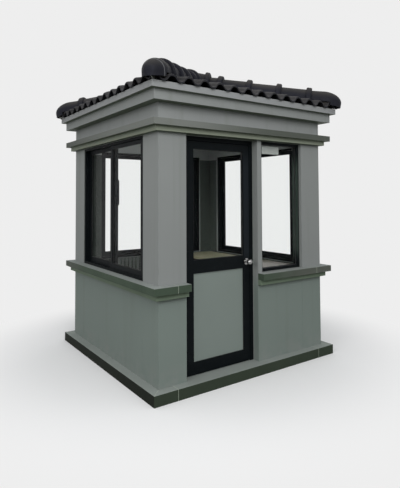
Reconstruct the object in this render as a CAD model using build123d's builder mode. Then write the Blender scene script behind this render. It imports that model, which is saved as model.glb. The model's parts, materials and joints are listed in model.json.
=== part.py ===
from build123d import *
import os
from math import atan, cos, degrees, radians, sin, sqrt, tan

# Security guard booth: a square cabin of panel walls on a plinth, glazed on
# all four sides above a moulded sill, with a stepped cornice under a hip roof
# of wave tiles. Millimetres, +Z up. The origin is the middle of the plan on
# the ground; the door is in the front, which faces -Y.

os.makedirs("parts", exist_ok=True)

# --- walls and plan -----------------------------------------------------------
booth_side = 1800.0          # over the wall faces, the same both ways
wall_thickness = 110.0
pillar_width = 250.0         # each leg of a corner pillar, along the wall face
panel_joint = 1.0            # gap between a wall panel and what stands beside it

# --- plinth and floor ---------------------------------------------------------
plinth_height = 85.0
plinth_projection = 80.0
plinth_edge_round = 3.0
floor_thickness = 30.0
floor_seat = 20.0            # width of the ledge that carries the floor
floor_gap = 1.5

# --- sill moulding ------------------------------------------------------------
sill_top = 845.0
sill_cap_height = 55.0
sill_cap_projection = 75.0
sill_bed_height = 45.0
sill_bed_projection = 37.0
moulding_joint_from_corner = 205.0
moulding_joint_width = 3.0
moulding_joint_depth = 2.0

# --- cornice ------------------------------------------------------------------
head_height = 2015.0         # underside of the cornice, top of every opening
bead_height = 40.0
bead_projection = 40.0
architrave_height = 50.0
architrave_projection = 80.0
frieze_height = 135.0
corona_height = 80.0
corona_projection = 80.0
fascia_height = 50.0
fascia_projection = 120.0
ceiling_drop = 40.0          # underside of the ceiling below the corona's
ceiling_thickness = 12.0
ceiling_seat = 20.0
ceiling_gap = 1.5

# --- door ---------------------------------------------------------------------
door_opening_width = 745.0
door_post_width = 48.0
door_frame_face = 40.0
door_frame_depth = 45.0
door_stop_width = 12.0
door_stop_thickness = 6.0
door_gap = 5.0               # all round the leaf, and to the stop behind it
door_bottom_gap = 8.0
door_leaf_thickness = 34.0
door_stile = 66.0
door_top_rail = 62.0
door_mid_rail_bottom = 895.0
door_mid_rail = 108.0
door_bottom_rail = 95.0
door_glass_thickness = 6.0
door_panel_thickness = 10.0
pane_bite = 7.0              # how far a pane reaches into its groove
pane_clearance = 0.5

# --- hinges -------------------------------------------------------------------
hinge_count = 3
hinge_height = 96.0
hinge_from_end = 150.0       # hinge centre from the leaf's top and bottom
hinge_plate_width = 28.0
hinge_plate_thickness = 3.0
hinge_pin_radius = 4.0
hinge_knuckle_radius = 7.0
hinge_pin_clearance = 0.3
hinge_knuckle_gap = 1.0

# --- knob ---------------------------------------------------------------------
knob_height = 950.0
knob_ball_radius = 26.0
knob_ball_standoff = 50.0    # ball centre from the leaf's face
knob_neck_radius = 12.0
knob_spindle_radius = 8.0
knob_bore_clearance = 0.5
rosette_radius = 27.0
knob_backset = 39.0          # from the leaf's edge
rosette_thickness = 7.0
knob_to_rosette_gap = 1.0

# --- sliding windows ----------------------------------------------------------
window_setback = 5.0         # frame's outer face behind the wall face
window_frame_depth = 80.0
window_frame_face = 25.0
sash_thickness = 25.0
sash_stile = 45.0
sash_top_rail = 30.0
sash_bottom_rail = 48.0
sash_side_gap = 2.0
sash_head_gap = 4.0
sash_spacing = 8.0           # clear gap between the two sashes
track_rib_thickness = 4.0
track_rib_height = 12.0
sash_glass_thickness = 5.0
pull_height = 1560.0         # middle of the pull handle
pull_length = 230.0
pull_section = 10.0
pull_standoff = 8.0          # clear gap between the handle and its stile

# --- fixed front window -------------------------------------------------------
fixed_frame_face = 30.0
fixed_frame_depth = 50.0
fixed_window_setback = 30.0

# --- desk ---------------------------------------------------------------------
desk_below_sill = 10.0       # desk top below the window sill
desk_depth = 440.0
desk_thickness = 25.0
desk_cleat_height = 45.0
desk_cleat_thickness = 30.0
desk_gap = 2.0

# --- roof tiles ---------------------------------------------------------------
tile_overhang = 20.0         # beyond the fascia
tile_wave = 150.0            # nominal width of one wave
tile_wave_height = 46.0
tile_thickness = 13.0
tile_lap_bite = 1.0          # neighbouring courses are bedded into each other
tile_lap = 40.0
tile_course_count = 3
roof_pitch = 14.3            # degrees, over all courses

# --- hips ---------------------------------------------------------------------
hip_tile_cover = 298.0
hip_tile_radius = 98.0       # outside, at the lower end
hip_tile_taper = 12.0        # how much smaller the radius is at the upper end
hip_tile_leg = 15.0
hip_tile_wall = 13.0
hip_tile_lap = 45.0
hip_end_gap = 8.0            # between the top tiles of neighbouring hips
hip_collar_rise = 20.0
hip_collar_width = 55.0
hip_collar_round = 14.0      # on the collar's two outer edges
hip_cap_radius = 101.0
hip_cap_length = 345.0
hip_cap_dome = 170.0         # depth of the end cap's domed nose
hip_cap_drop = 25.0          # how far the nose hangs past the eave corner
hip_nose_clearance = 5.0
hip_nose_relief = 2.0        # between the nose's skirt and the tiles' crests
hip_cap_overhang = 25.0
apex_arm_length = 205.0
apex_cap_radius = 112.0
apex_rise = 50.0
apex_wall = 13.0
apex_bed = 1.5               # the cap is bedded this far above the hip tiles' feet
apex_collar_rise = 24.0
apex_collar_width = 46.0
apex_collar_setback = 3.0    # from the arm's end

# --- worked out from the above ------------------------------------------------
face = booth_side / 2                          # wall face from the middle
inner = face - wall_thickness                  # inner wall face from the middle
pillar_inner = face - pillar_width
door_left = -pillar_inner
door_right = door_left + door_opening_width
post_right = door_right + door_post_width
sill_cap_bottom = sill_top - sill_cap_height
sill_bed_bottom = sill_cap_bottom - sill_bed_height
bead_top = head_height + bead_height
architrave_top = bead_top + architrave_height
frieze_top = architrave_top + frieze_height
corona_top = frieze_top + corona_height
fascia_top = corona_top + fascia_height
ceiling_height = frieze_top - ceiling_drop
desk_top_height = sill_top - desk_below_sill

eave = face + fascia_projection + tile_overhang
course_run = eave / tile_course_count          # in plan, from tail to tail
pitch_slope = tan(radians(roof_pitch))
tile_step = tile_thickness - tile_lap_bite
course_slope = pitch_slope - tile_step / course_run
eave_seat = fascia_top - tile_overhang * course_slope


def save(piece, name):
    """Label a finished piece and write it as its own STEP file."""
    piece.label = name
    export_step(piece, f"parts/{name}.step")


def turned(piece, quarter_turns):
    """The same piece on another side of the square booth."""
    return piece.rotate(Axis.Z, 90 * quarter_turns)


SIDES = {"front": 0, "right": 1, "back": 2, "left": 3}


# --- plinth and floor ---------------------------------------------------------
plinth_outer = face + plinth_projection

with BuildPart() as plinth:
    with BuildSketch():
        Rectangle(2 * plinth_outer, 2 * plinth_outer)
        Rectangle(2 * inner - 2 * floor_seat, 2 * inner - 2 * floor_seat, mode=Mode.SUBTRACT)
    extrude(amount=plinth_height)
    with BuildSketch(Plane.XY.offset(plinth_height - floor_thickness)):
        Rectangle(2 * inner, 2 * inner)
    extrude(amount=floor_thickness, mode=Mode.SUBTRACT)
    outer_top = plinth.edges().group_by(Axis.Z)[-1].sort_by(SortBy.LENGTH)[-4:]
    fillet(outer_top, plinth_edge_round)
    joint_along = plinth_outer - moulding_joint_from_corner
    with BuildSketch():
        with PolarLocations(plinth_outer, 4):
            with Locations((0, joint_along), (0, -joint_along)):
                Rectangle(2 * moulding_joint_depth, moulding_joint_width)
    extrude(amount=plinth_height, mode=Mode.SUBTRACT)
save(plinth.part, "plinth")

with BuildPart() as floor:
    with BuildSketch(Plane.XY.offset(plinth_height - floor_thickness)):
        Rectangle(2 * inner - 2 * floor_gap, 2 * inner - 2 * floor_gap)
    extrude(amount=floor_thickness)
save(floor.part, "floor")

# --- corner pillars -----------------------------------------------------------
with BuildPart() as pillar:
    with BuildSketch(Plane.XY.offset(plinth_height)):
        with BuildLine():
            Polyline(
                (-face, -face),
                (-pillar_inner, -face),
                (-pillar_inner, -inner),
                (-inner, -inner),
                (-inner, -pillar_inner),
                (-face, -pillar_inner),
                close=True,
            )
        make_face()
    extrude(amount=head_height - plinth_height)

for name, turns in {"front_left": 0, "front_right": 1, "back_right": 2, "back_left": 3}.items():
    save(turned(pillar.part, turns), f"pillar_{name}")

# --- lower walls --------------------------------------------------------------
with BuildPart() as lower_wall:
    with BuildSketch(Plane.XY.offset(plinth_height)):
        with Locations((0, -(face + inner) / 2)):
            Rectangle(2 * (pillar_inner - panel_joint), wall_thickness)
    extrude(amount=sill_top - plinth_height)

for name in ("right", "back", "left"):
    save(turned(lower_wall.part, SIDES[name]), f"lower_wall_{name}")

with BuildPart() as lower_wall_front:
    with BuildSketch(Plane.XY.offset(plinth_height)):
        with Locations(((door_right + pillar_inner - panel_joint) / 2, -(face + inner) / 2)):
            Rectangle(pillar_inner - panel_joint - door_right, wall_thickness)
    extrude(amount=sill_top - plinth_height)
save(lower_wall_front.part, "lower_wall_front")

with BuildPart() as door_post:
    with BuildSketch(Plane.XY.offset(sill_top)):
        with Locations(((door_right + post_right) / 2, -(face + inner) / 2)):
            Rectangle(door_post_width, wall_thickness)
    extrude(amount=head_height - sill_top)
save(door_post.part, "door_post")

# --- mouldings ----------------------------------------------------------------
# A moulding is a section drawn on the side plane, looking along +X, and run
# along the front. Its ends are cut square or mitred at the corners.


def moulding(section, start, end, mitre_start, mitre_end, groove_reach, groove_low, groove_high):
    """A length of moulding along the front, from X start to X end."""
    with BuildPart() as length:
        with BuildSketch(Plane.YZ.offset(start)):
            with BuildLine():
                Polyline(*section, close=True)
            make_face()
        extrude(amount=end - start)
        if mitre_start:
            split(bisect_by=Plane((0, 0, 0), x_dir=(0, 0, 1), z_dir=(1, -1, 0)), keep=Keep.TOP)
        if mitre_end:
            split(bisect_by=Plane((0, 0, 0), x_dir=(0, 0, 1), z_dir=(-1, -1, 0)), keep=Keep.TOP)
        joint = groove_reach - moulding_joint_from_corner
        for place in (-joint, joint):
            if start < place < end:
                with BuildSketch(Plane.XY.offset(groove_low)):
                    with Locations((place, -groove_reach)):
                        Rectangle(moulding_joint_width, 2 * moulding_joint_depth)
                extrude(amount=groove_high - groove_low, mode=Mode.SUBTRACT)
    return length.part


sill_reach = face + sill_cap_projection
sill_section = [
    (-face, sill_top),
    (-sill_reach, sill_top),
    (-sill_reach, sill_cap_bottom),
    (-face - sill_bed_projection, sill_cap_bottom),
    (-face - sill_bed_projection, sill_bed_bottom),
    (-face, sill_bed_bottom),
]
sill_joint = (sill_reach, sill_cap_bottom, sill_top)
full_sill = moulding(sill_section, -sill_reach, sill_reach, True, True, *sill_joint)
for name in ("right", "back", "left"):
    save(turned(full_sill, SIDES[name]), f"sill_{name}")

with BuildPart() as sill_front:
    add(moulding(sill_section, -sill_reach, door_left, True, False, *sill_joint))
    add(moulding(sill_section, door_right, sill_reach, False, True, *sill_joint))
save(sill_front.part, "sill_front")

# The cornice section carries the ceiling on an inner ledge, and its top is
# sloped to take the first course of tiles.
cornice_reach = face + fascia_projection
cornice_inner_top = fascia_top + (cornice_reach - inner - ceiling_seat) * course_slope
cornice_section = [
    (-inner, head_height),
    (-face - bead_projection, head_height),
    (-face - bead_projection, bead_top),
    (-face - architrave_projection, bead_top),
    (-face - architrave_projection, architrave_top),
    (-face, architrave_top),
    (-face, frieze_top),
    (-face - corona_projection, frieze_top),
    (-face - corona_projection, corona_top),
    (-cornice_reach, corona_top),
    (-cornice_reach, fascia_top),
    (-inner - ceiling_seat, cornice_inner_top),
    (-inner - ceiling_seat, ceiling_height),
    (-inner, ceiling_height),
]
cornice_joint = (cornice_reach, fascia_top, fascia_top + moulding_joint_width)
cornice = moulding(cornice_section, -cornice_reach, cornice_reach, True, True, *cornice_joint)
for name, turns in SIDES.items():
    save(turned(cornice, turns), f"cornice_{name}")

ceiling_side = 2 * (inner + ceiling_seat - ceiling_gap)
with BuildPart() as ceiling:
    with BuildSketch(Plane.XY.offset(ceiling_height)):
        Rectangle(ceiling_side, ceiling_side)
    extrude(amount=ceiling_thickness)
save(ceiling.part, "ceiling")

# --- windows ------------------------------------------------------------------


def frame_ring(left, right, bottom, top, outer_y, depth, side, top_face, bottom_face):
    """A rectangular ring facing -Y, its outer face at outer_y, given by its bars."""
    with BuildPart() as ring:
        with BuildSketch(Plane.XZ.offset(-outer_y)):
            with Locations(((left + right) / 2, (bottom + top) / 2)):
                Rectangle(right - left, top - bottom)
            with Locations(((left + right) / 2, (bottom + bottom_face + top - top_face) / 2)):
                Rectangle(
                    right - left - 2 * side,
                    top - top_face - bottom - bottom_face,
                    mode=Mode.SUBTRACT,
                )
        extrude(amount=-depth)
    return ring.part


def pane(left, right, bottom, top, middle_y, thickness):
    """A flat pane facing -Y, its middle at middle_y."""
    with BuildPart() as sheet:
        with BuildSketch(Plane.XZ.offset(-middle_y)):
            with Locations(((left + right) / 2, (bottom + top) / 2)):
                Rectangle(right - left, top - bottom)
        extrude(amount=thickness / 2, both=True)
    return sheet.part


# The sliding window, drawn for the front wall plane and turned to the others.
window_outer = -face + window_setback
track_outer = window_outer + (window_frame_depth - 2 * sash_thickness - sash_spacing) / 2
track_inner = track_outer + sash_thickness + sash_spacing
frame_opening = pillar_inner - window_frame_face
sash_bottom = sill_top + window_frame_face
sash_top = head_height - window_frame_face - sash_head_gap
glass_bottom = sash_bottom + sash_bottom_rail
glass_top = sash_top - sash_top_rail

with BuildPart() as window_frame:
    add(frame_ring(-pillar_inner, pillar_inner, sill_top, head_height, window_outer,
                   window_frame_depth, window_frame_face, window_frame_face, window_frame_face))
    rib_middle = track_inner - sash_spacing / 2
    for rib_bottom in (sash_bottom, head_height - window_frame_face - track_rib_height):
        with BuildSketch(Plane.XY.offset(rib_bottom)):
            with Locations((0, rib_middle)):
                Rectangle(2 * frame_opening, track_rib_thickness)
        extrude(amount=track_rib_height)

# (left edge, right edge, outer face) of the sash in each track
sash_places = [
    (-frame_opening + sash_side_gap, sash_stile / 2, track_inner),
    (-sash_stile / 2, frame_opening - sash_side_gap, track_outer),
]
bite = pane_bite - pane_clearance
with BuildPart() as sashes:
    for left, right, outer_y in sash_places:
        add(frame_ring(left, right, sash_bottom, sash_top, outer_y, sash_thickness,
                       sash_stile, sash_top_rail, sash_bottom_rail))
        middle = outer_y + sash_thickness / 2
        add(pane(left + sash_stile - pane_bite, right - sash_stile + pane_bite, glass_bottom - pane_bite,
                 glass_top + pane_bite, middle, sash_glass_thickness + 2 * pane_clearance),
            mode=Mode.SUBTRACT)
    # The pull handle stands on the room side of the inner sash's meeting stile.
    pull_foot = track_inner + sash_thickness
    pull_reach = pull_foot + pull_standoff + pull_section
    with BuildSketch(Plane.YZ) as pull:
        with Locations(((pull_foot + pull_reach) / 2, pull_height)):
            Rectangle(pull_reach - pull_foot, pull_length)
        fillet(pull.vertices().group_by(Axis.X)[-1], pull_section / 2)
        with Locations((pull_foot + pull_standoff / 2, pull_height)):
            Rectangle(pull_standoff, pull_length - 2 * pull_section, mode=Mode.SUBTRACT)
    extrude(amount=pull_section / 2, both=True)

with BuildPart() as window_glass:
    for left, right, outer_y in sash_places:
        add(pane(left + sash_stile - bite, right - sash_stile + bite, glass_bottom - bite,
                 glass_top + bite, outer_y + sash_thickness / 2, sash_glass_thickness))

for name in ("right", "back", "left"):
    save(turned(window_frame.part, SIDES[name]), f"window_frame_{name}")
    save(turned(sashes.part, SIDES[name]), f"window_sashes_{name}")
    save(turned(window_glass.part, SIDES[name]), f"window_glass_{name}")

# The fixed light between the door post and the right pillar.
fixed_outer = -face + fixed_window_setback
fixed_middle = fixed_outer + fixed_frame_depth / 2
fixed_glass = (
    post_right + fixed_frame_face,
    pillar_inner - fixed_frame_face,
    sill_top + fixed_frame_face,
    head_height - fixed_frame_face,
)


def grown(edges, reach):
    """Left, right, bottom and top, each moved outwards by reach."""
    left, right, bottom, top = edges
    return left - reach, right + reach, bottom - reach, top + reach


with BuildPart() as window_frame_front:
    add(frame_ring(post_right, pillar_inner, sill_top, head_height, fixed_outer, fixed_frame_depth,
                   fixed_frame_face, fixed_frame_face, fixed_frame_face))
    add(pane(*grown(fixed_glass, pane_bite), fixed_middle, sash_glass_thickness + 2 * pane_clearance),
        mode=Mode.SUBTRACT)
save(window_frame_front.part, "window_frame_front")
save(pane(*grown(fixed_glass, bite), fixed_middle, sash_glass_thickness), "window_glass_front")

# --- door ---------------------------------------------------------------------
# The frame's inner face is flush with the wall's, so the door stands back in a
# reveal. The leaf closes on a stop at the inner edge and opens outwards.
door_outer = -inner - door_frame_depth
stop_outer = -inner - door_stop_thickness
leaf_left = door_left + door_frame_face + door_gap
leaf_right = door_right - door_frame_face - door_gap
leaf_bottom = plinth_height + door_bottom_gap
leaf_top = head_height - door_frame_face - door_gap
leaf_middle = door_outer + door_leaf_thickness / 2
pivot_x = leaf_left - door_gap / 2
pivot_y = door_outer - hinge_knuckle_radius
hinge_middles = [
    leaf_bottom + hinge_from_end + i * (leaf_top - leaf_bottom - 2 * hinge_from_end) / (hinge_count - 1)
    for i in range(hinge_count)
]
knuckle_height = (hinge_height - 2 * hinge_knuckle_gap) / 3
knuckle_pitch = knuckle_height + hinge_knuckle_gap


def frame_bars(face_width, outer_y, depth):
    """Two jambs and a head round the door opening."""
    with BuildPart() as bars:
        with BuildSketch(Plane.XZ.offset(-outer_y)):
            with BuildLine():
                Polyline(
                    (door_left, plinth_height),
                    (door_left, head_height),
                    (door_right, head_height),
                    (door_right, plinth_height),
                    (door_right - face_width, plinth_height),
                    (door_right - face_width, head_height - face_width),
                    (door_left + face_width, head_height - face_width),
                    (door_left + face_width, plinth_height),
                    close=True,
                )
            make_face()
        extrude(amount=-depth)
    return bars.part


def hinge_plate(toward, middle_z, knuckle_middles):
    """A plate on the door's outer face with a tab to each of its knuckles.

    The plate lies on the side that toward points to: -1 is the frame's, 1 the
    leaf's.
    """
    near = hinge_knuckle_radius + hinge_knuckle_gap
    with BuildPart() as plate:
        with BuildSketch(Plane.XZ.offset(-door_outer)):
            with Locations((pivot_x + toward * (near + hinge_plate_width / 2), middle_z)):
                Rectangle(hinge_plate_width, hinge_height)
            for knuckle_z in knuckle_middles:
                with Locations((pivot_x + toward * near / 2, knuckle_z)):
                    Rectangle(near, knuckle_height)
        extrude(amount=hinge_plate_thickness)
    return plate.part


def pivot_round(radius, bottom, height):
    """A round solid on the hinge line."""
    with BuildPart() as solid:
        with BuildSketch(Plane.XY.offset(bottom)):
            with Locations((pivot_x, pivot_y)):
                Circle(radius)
        extrude(amount=height)
    return solid.part


with BuildPart() as door_frame:
    add(frame_bars(door_frame_face, door_outer, door_frame_depth))
    add(frame_bars(door_frame_face + door_stop_width, stop_outer, door_stop_thickness))
    for middle_z in hinge_middles:
        outer_knuckles = (middle_z - knuckle_pitch, middle_z + knuckle_pitch)
        add(hinge_plate(-1, middle_z, outer_knuckles))
        for knuckle_z in outer_knuckles:
            add(pivot_round(hinge_knuckle_radius, knuckle_z - knuckle_height / 2, knuckle_height))
        add(pivot_round(hinge_pin_radius, middle_z - hinge_height / 2, hinge_height))
save(door_frame.part, "door_frame")

mid_rail_top = door_mid_rail_bottom + door_mid_rail
door_glass = (leaf_left + door_stile, leaf_right - door_stile, mid_rail_top, leaf_top - door_top_rail)
door_panel = (leaf_left + door_stile, leaf_right - door_stile, leaf_bottom + door_bottom_rail,
              door_mid_rail_bottom)
knob_x = leaf_right - knob_backset

with BuildPart() as door_leaf:
    add(pane(leaf_left, leaf_right, leaf_bottom, leaf_top, leaf_middle, door_leaf_thickness))
    for edges, thickness in ((door_glass, door_glass_thickness), (door_panel, door_panel_thickness)):
        add(pane(*edges, leaf_middle, 2 * door_leaf_thickness), mode=Mode.SUBTRACT)
        add(pane(*grown(edges, pane_bite), leaf_middle, thickness + 2 * pane_clearance), mode=Mode.SUBTRACT)
    for middle_z in hinge_middles:
        add(hinge_plate(1, middle_z, (middle_z,)))
        add(pivot_round(hinge_knuckle_radius, middle_z - knuckle_height / 2, knuckle_height))
        add(pivot_round(hinge_pin_radius + hinge_pin_clearance, middle_z - hinge_height, 2 * hinge_height),
            mode=Mode.SUBTRACT)
    with BuildSketch(Plane.XZ.offset(-leaf_middle)):
        with Locations((knob_x, knob_height)):
            Circle(knob_spindle_radius + knob_bore_clearance)
    extrude(amount=door_leaf_thickness, both=True, mode=Mode.SUBTRACT)
save(door_leaf.part, "door_leaf")
save(pane(*grown(door_glass, bite), leaf_middle, door_glass_thickness), "door_glass")
save(pane(*grown(door_panel, bite), leaf_middle, door_panel_thickness), "door_panel")

# --- knob and roses -----------------------------------------------------------
# Both are turned about the spindle, which is drawn along +Z from the middle of
# the leaf and then laid along -Y.
leaf_half = door_leaf_thickness / 2
ball_centre = leaf_half + knob_ball_standoff
neck_start = leaf_half + rosette_thickness + knob_to_rosette_gap


def on_spindle(piece):
    """Lay a piece drawn along +Z onto the knob's spindle."""
    return piece.rotate(Axis.X, 90).translate((knob_x, leaf_middle, knob_height))


with BuildPart() as knob:
    with BuildSketch(Plane.XY.offset(-ball_centre)):
        Circle(knob_spindle_radius)
    extrude(amount=2 * ball_centre)
    for end in (-1, 1):
        with Locations((0, 0, end * ball_centre)):
            Sphere(knob_ball_radius)
        with Locations((0, 0, end * (neck_start + ball_centre) / 2)):
            Cylinder(knob_neck_radius, ball_centre - neck_start)
save(on_spindle(knob.part), "door_knob")

with BuildPart() as roses:
    for end in (-1, 1):
        with Locations((0, 0, end * (leaf_half + rosette_thickness / 2))):
            Cylinder(rosette_radius, rosette_thickness)
    with BuildSketch(Plane.XY.offset(-ball_centre)):
        Circle(knob_spindle_radius + knob_bore_clearance)
    extrude(amount=2 * ball_centre, mode=Mode.SUBTRACT)
save(on_spindle(roses.part), "door_roses")

# --- desk ---------------------------------------------------------------------
# The desk stands on cleats fixed to the right wall and to the two end pillars.
desk_right = inner - desk_gap
desk_left = inner - desk_depth
desk_half_length = inner - desk_gap

with BuildPart() as desk:
    with BuildSketch(Plane.XY.offset(desk_top_height - desk_thickness)):
        with Locations(((desk_left + desk_right) / 2, 0)):
            Rectangle(desk_right - desk_left, 2 * desk_half_length)
    extrude(amount=desk_thickness)
    with BuildSketch(Plane.XY.offset(desk_top_height - desk_thickness - desk_cleat_height)):
        with Locations((inner - desk_cleat_thickness / 2, 0)):
            Rectangle(desk_cleat_thickness, 2 * inner)
        for end in (-1, 1):
            with Locations(((desk_left + inner) / 2, end * (inner - desk_cleat_thickness / 2))):
                Rectangle(inner - desk_left, desk_cleat_thickness)
    extrude(amount=desk_cleat_height)
save(desk.part, "desk")

# --- roof slopes --------------------------------------------------------------
# One slope is three courses of wave tiles. A course is the wave section run up
# the slope; the next course starts on its back, one tile thickness higher.
wave_count = 2 * round(eave / tile_wave)
half_wave = eave / wave_count
amplitude = tile_wave_height / 2


def wave_edge(base_height):
    """Points and middles of the arcs along one face of the wave section."""
    arcs = []
    for i in range(2 * wave_count):
        left = -eave + i * half_wave
        bulge = amplitude if i % 2 == 0 else -amplitude
        height = base_height + amplitude
        arcs.append(((left, height), (left + half_wave / 2, height + bulge), (left + half_wave, height)))
    return arcs


with BuildPart() as slope:
    for course in range(tile_course_count):
        tail = course * course_run
        run = course_run + (tile_lap if course < tile_course_count - 1 else 0)
        lift = tail * course_slope + course * tile_step
        with BuildSketch(Plane.XZ.offset(eave - tail)):
            with BuildLine():
                for start, middle, end in wave_edge(eave_seat + lift):
                    ThreePointArc(start, middle, end)
                for start, middle, end in wave_edge(eave_seat + lift + tile_thickness):
                    ThreePointArc(start, middle, end)
                for x in (-eave, eave):
                    low = eave_seat + lift + amplitude
                    Line((x, low), (x, low + tile_thickness))
            make_face()
        extrude(amount=run * sqrt(1 + course_slope**2), dir=(0, 1, course_slope))
    split(bisect_by=Plane((0, 0, 0), x_dir=(0, 0, 1), z_dir=(1, -1, 0)), keep=Keep.TOP)
    split(bisect_by=Plane((0, 0, 0), x_dir=(0, 0, 1), z_dir=(-1, -1, 0)), keep=Keep.TOP)

for name, turns in SIDES.items():
    save(turned(slope.part, turns), f"roof_{name}")

# --- hips ---------------------------------------------------------------------
# A hip is drawn along +X from the middle of the roof, level, with its legs'
# feet on Z = 0. It is then tipped down to the hip's slope, turned over a
# corner and lifted so that the feet stand on the crests of the tiles.
hip_slope = pitch_slope / sqrt(2)
hip_tip = degrees(atan(hip_slope))
hip_length = (eave * sqrt(2) + hip_cap_overhang) / cos(radians(hip_tip))
hip_foot_inner = hip_tile_radius - hip_tile_taper / 2 - hip_tile_wall
crest_at_eave = eave_seat + tile_thickness + tile_wave_height
hip_top = crest_at_eave + eave * pitch_slope - hip_foot_inner * hip_slope
hip_start = hip_tile_radius + hip_end_gap


def across(x):
    """A plane across the hip at x, with its local Y pointing up."""
    return Plane((x, 0, 0), x_dir=(0, 1, 0), z_dir=(1, 0, 0))


def arch_outline(radius, leg):
    """The closed horseshoe line: a half round on two straight legs."""
    ThreePointArc((-radius, leg), (0, leg + radius), (radius, leg))
    Polyline((radius, leg), (radius, 0), (-radius, 0), (-radius, leg))


def barrel(x_upper, x_lower, radius_upper, radius_lower, leg, wall, round_over=0.0):
    """A tapered half-round tile, hollow below, from x_upper down to x_lower."""
    with BuildPart() as tile:
        for x, radius in ((x_upper, radius_upper), (x_lower, radius_lower)):
            with BuildSketch(across(x)):
                with BuildLine():
                    arch_outline(radius, leg)
                make_face()
        loft()
        if round_over:
            ends = tile.faces().sort_by(Axis.X)
            rims = ends[0].edges().sort_by(Axis.Z)[1:] + ends[-1].edges().sort_by(Axis.Z)[1:]
            fillet(rims, round_over)
        for x, radius in ((x_upper, radius_upper - wall), (x_lower, radius_lower - wall)):
            with BuildSketch(across(x)):
                with BuildLine():
                    arch_outline(radius, leg)
                make_face()
        loft(mode=Mode.SUBTRACT)
    return tile.part


def nose(radius, depth):
    """A domed end from dome_start outwards: a quarter egg on an upright skirt."""
    with BuildPart() as end:
        with BuildSketch(Plane.XY.offset(-hip_cap_drop)):
            with BuildLine():
                EllipticalCenterArc((dome_start, 0), depth, radius, start_angle=-90, arc_size=180)
                Line((dome_start, radius), (dome_start, -radius))
            make_face()
        extrude(amount=hip_tile_leg + hip_cap_drop)
        with BuildSketch(Plane.XY.offset(hip_tile_leg)):
            with BuildLine():
                EllipticalCenterArc((dome_start, 0), depth, radius, start_angle=0, arc_size=90)
                Polyline((dome_start, radius), (dome_start, 0), (dome_start + depth, 0))
            make_face()
        revolve(axis=Axis((0, 0, hip_tile_leg), (1, 0, 0)), revolution_arc=180)
    return end.part


cap_upper = hip_length - hip_cap_length
dome_start = hip_length - hip_cap_dome
notch_tip = eave * sqrt(2) / cos(radians(hip_tip)) + hip_cap_drop * hip_slope + hip_nose_clearance
collar_radius = hip_tile_radius + hip_collar_rise
collar_wall = hip_collar_rise + hip_tile_wall / 2
with BuildPart() as hip:
    # The nose, notched so that its skirt hangs only outside the eave's corner.
    add(nose(hip_cap_radius, hip_cap_dome))
    add(nose(hip_cap_radius - hip_tile_wall, hip_cap_dome - hip_tile_wall), mode=Mode.SUBTRACT)
    with BuildSketch(Plane.XY.offset(-hip_cap_drop)):
        with BuildLine():
            Polyline((notch_tip, 0), (cap_upper, notch_tip - cap_upper), (cap_upper, cap_upper - notch_tip),
                     close=True)
        make_face()
    extrude(amount=hip_cap_drop + hip_nose_relief, mode=Mode.SUBTRACT)
    add(barrel(cap_upper, dome_start, hip_cap_radius - hip_tile_taper, hip_cap_radius,
               hip_tile_leg, hip_tile_wall))
    lower = cap_upper + hip_tile_lap
    while lower > hip_start + hip_collar_width:
        upper = max(lower - hip_tile_cover - hip_tile_lap, hip_start)
        add(barrel(upper, lower, hip_tile_radius - hip_tile_taper, hip_tile_radius,
                   hip_tile_leg, hip_tile_wall))
        add(barrel(lower - hip_collar_width, lower, collar_radius, collar_radius,
                   hip_tile_leg, collar_wall, hip_collar_round))
        lower = lower - hip_tile_cover

hip_piece = hip.part.rotate(Axis.Y, hip_tip).translate((0, 0, hip_top))
with BuildPart() as hips:
    for turns in range(4):
        add(hip_piece.rotate(Axis.Z, 45 + 90 * turns))
save(hips.part, "hip_tiles")

# --- apex cap -----------------------------------------------------------------
apex_collar_end = apex_arm_length - apex_collar_setback


def apex_leg(x):
    """The height of an arm's legs: tall in the middle, as the hips' at its end."""
    return hip_tile_leg + apex_rise * (1 - x / apex_arm_length)


def apex_arm(wall):
    """One arm of the four-way cap, from the middle out along +X."""
    with BuildPart() as arm:
        for x in (0, apex_arm_length):
            with BuildSketch(across(x)):
                with BuildLine():
                    arch_outline(apex_cap_radius - wall, apex_leg(x))
                make_face()
        loft()
    return arm.part


def apex_collar():
    """The raised band round the end of an arm."""
    with BuildPart() as collar:
        for x in (apex_collar_end - apex_collar_width, apex_collar_end):
            with BuildSketch(across(x)):
                with BuildLine():
                    arch_outline(apex_cap_radius + apex_collar_rise, apex_leg(x))
                make_face()
        loft()
        ends = collar.faces().sort_by(Axis.X)
        rims = ends[0].edges().sort_by(Axis.Z)[1:] + ends[-1].edges().sort_by(Axis.Z)[1:]
        fillet(rims, hip_collar_round)
        add(apex_arm(apex_wall / 2), mode=Mode.SUBTRACT)
    return collar.part


with BuildPart() as apex:
    for turns in range(4):
        add(apex_arm(0.0).rotate(Axis.Z, 45 + 90 * turns))
    for turns in range(4):
        add(apex_arm(apex_wall).rotate(Axis.Z, 45 + 90 * turns), mode=Mode.SUBTRACT)
    for turns in range(4):
        add(apex_collar().rotate(Axis.Z, 45 + 90 * turns))
save(apex.part.translate((0, 0, hip_top - apex_arm_length * hip_slope + apex_bed)), "apex_cap")
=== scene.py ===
# %% [markdown]
# # A guard booth, dressed
# The booth comes in as plain solids, each at its real size. This lesson gives them their looks:
# loose roof tiles, rubber seals, screws, grout and the finish of every surface.
# Lengths are metres, +X runs to the right along the door side, +Y to the back and +Z up.

# %% Load the booth's solids
import json
from math import asin, atan, cos, pi, radians, sin, sqrt, tan

import bmesh
import bpy
from mathutils import Matrix, Vector


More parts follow.
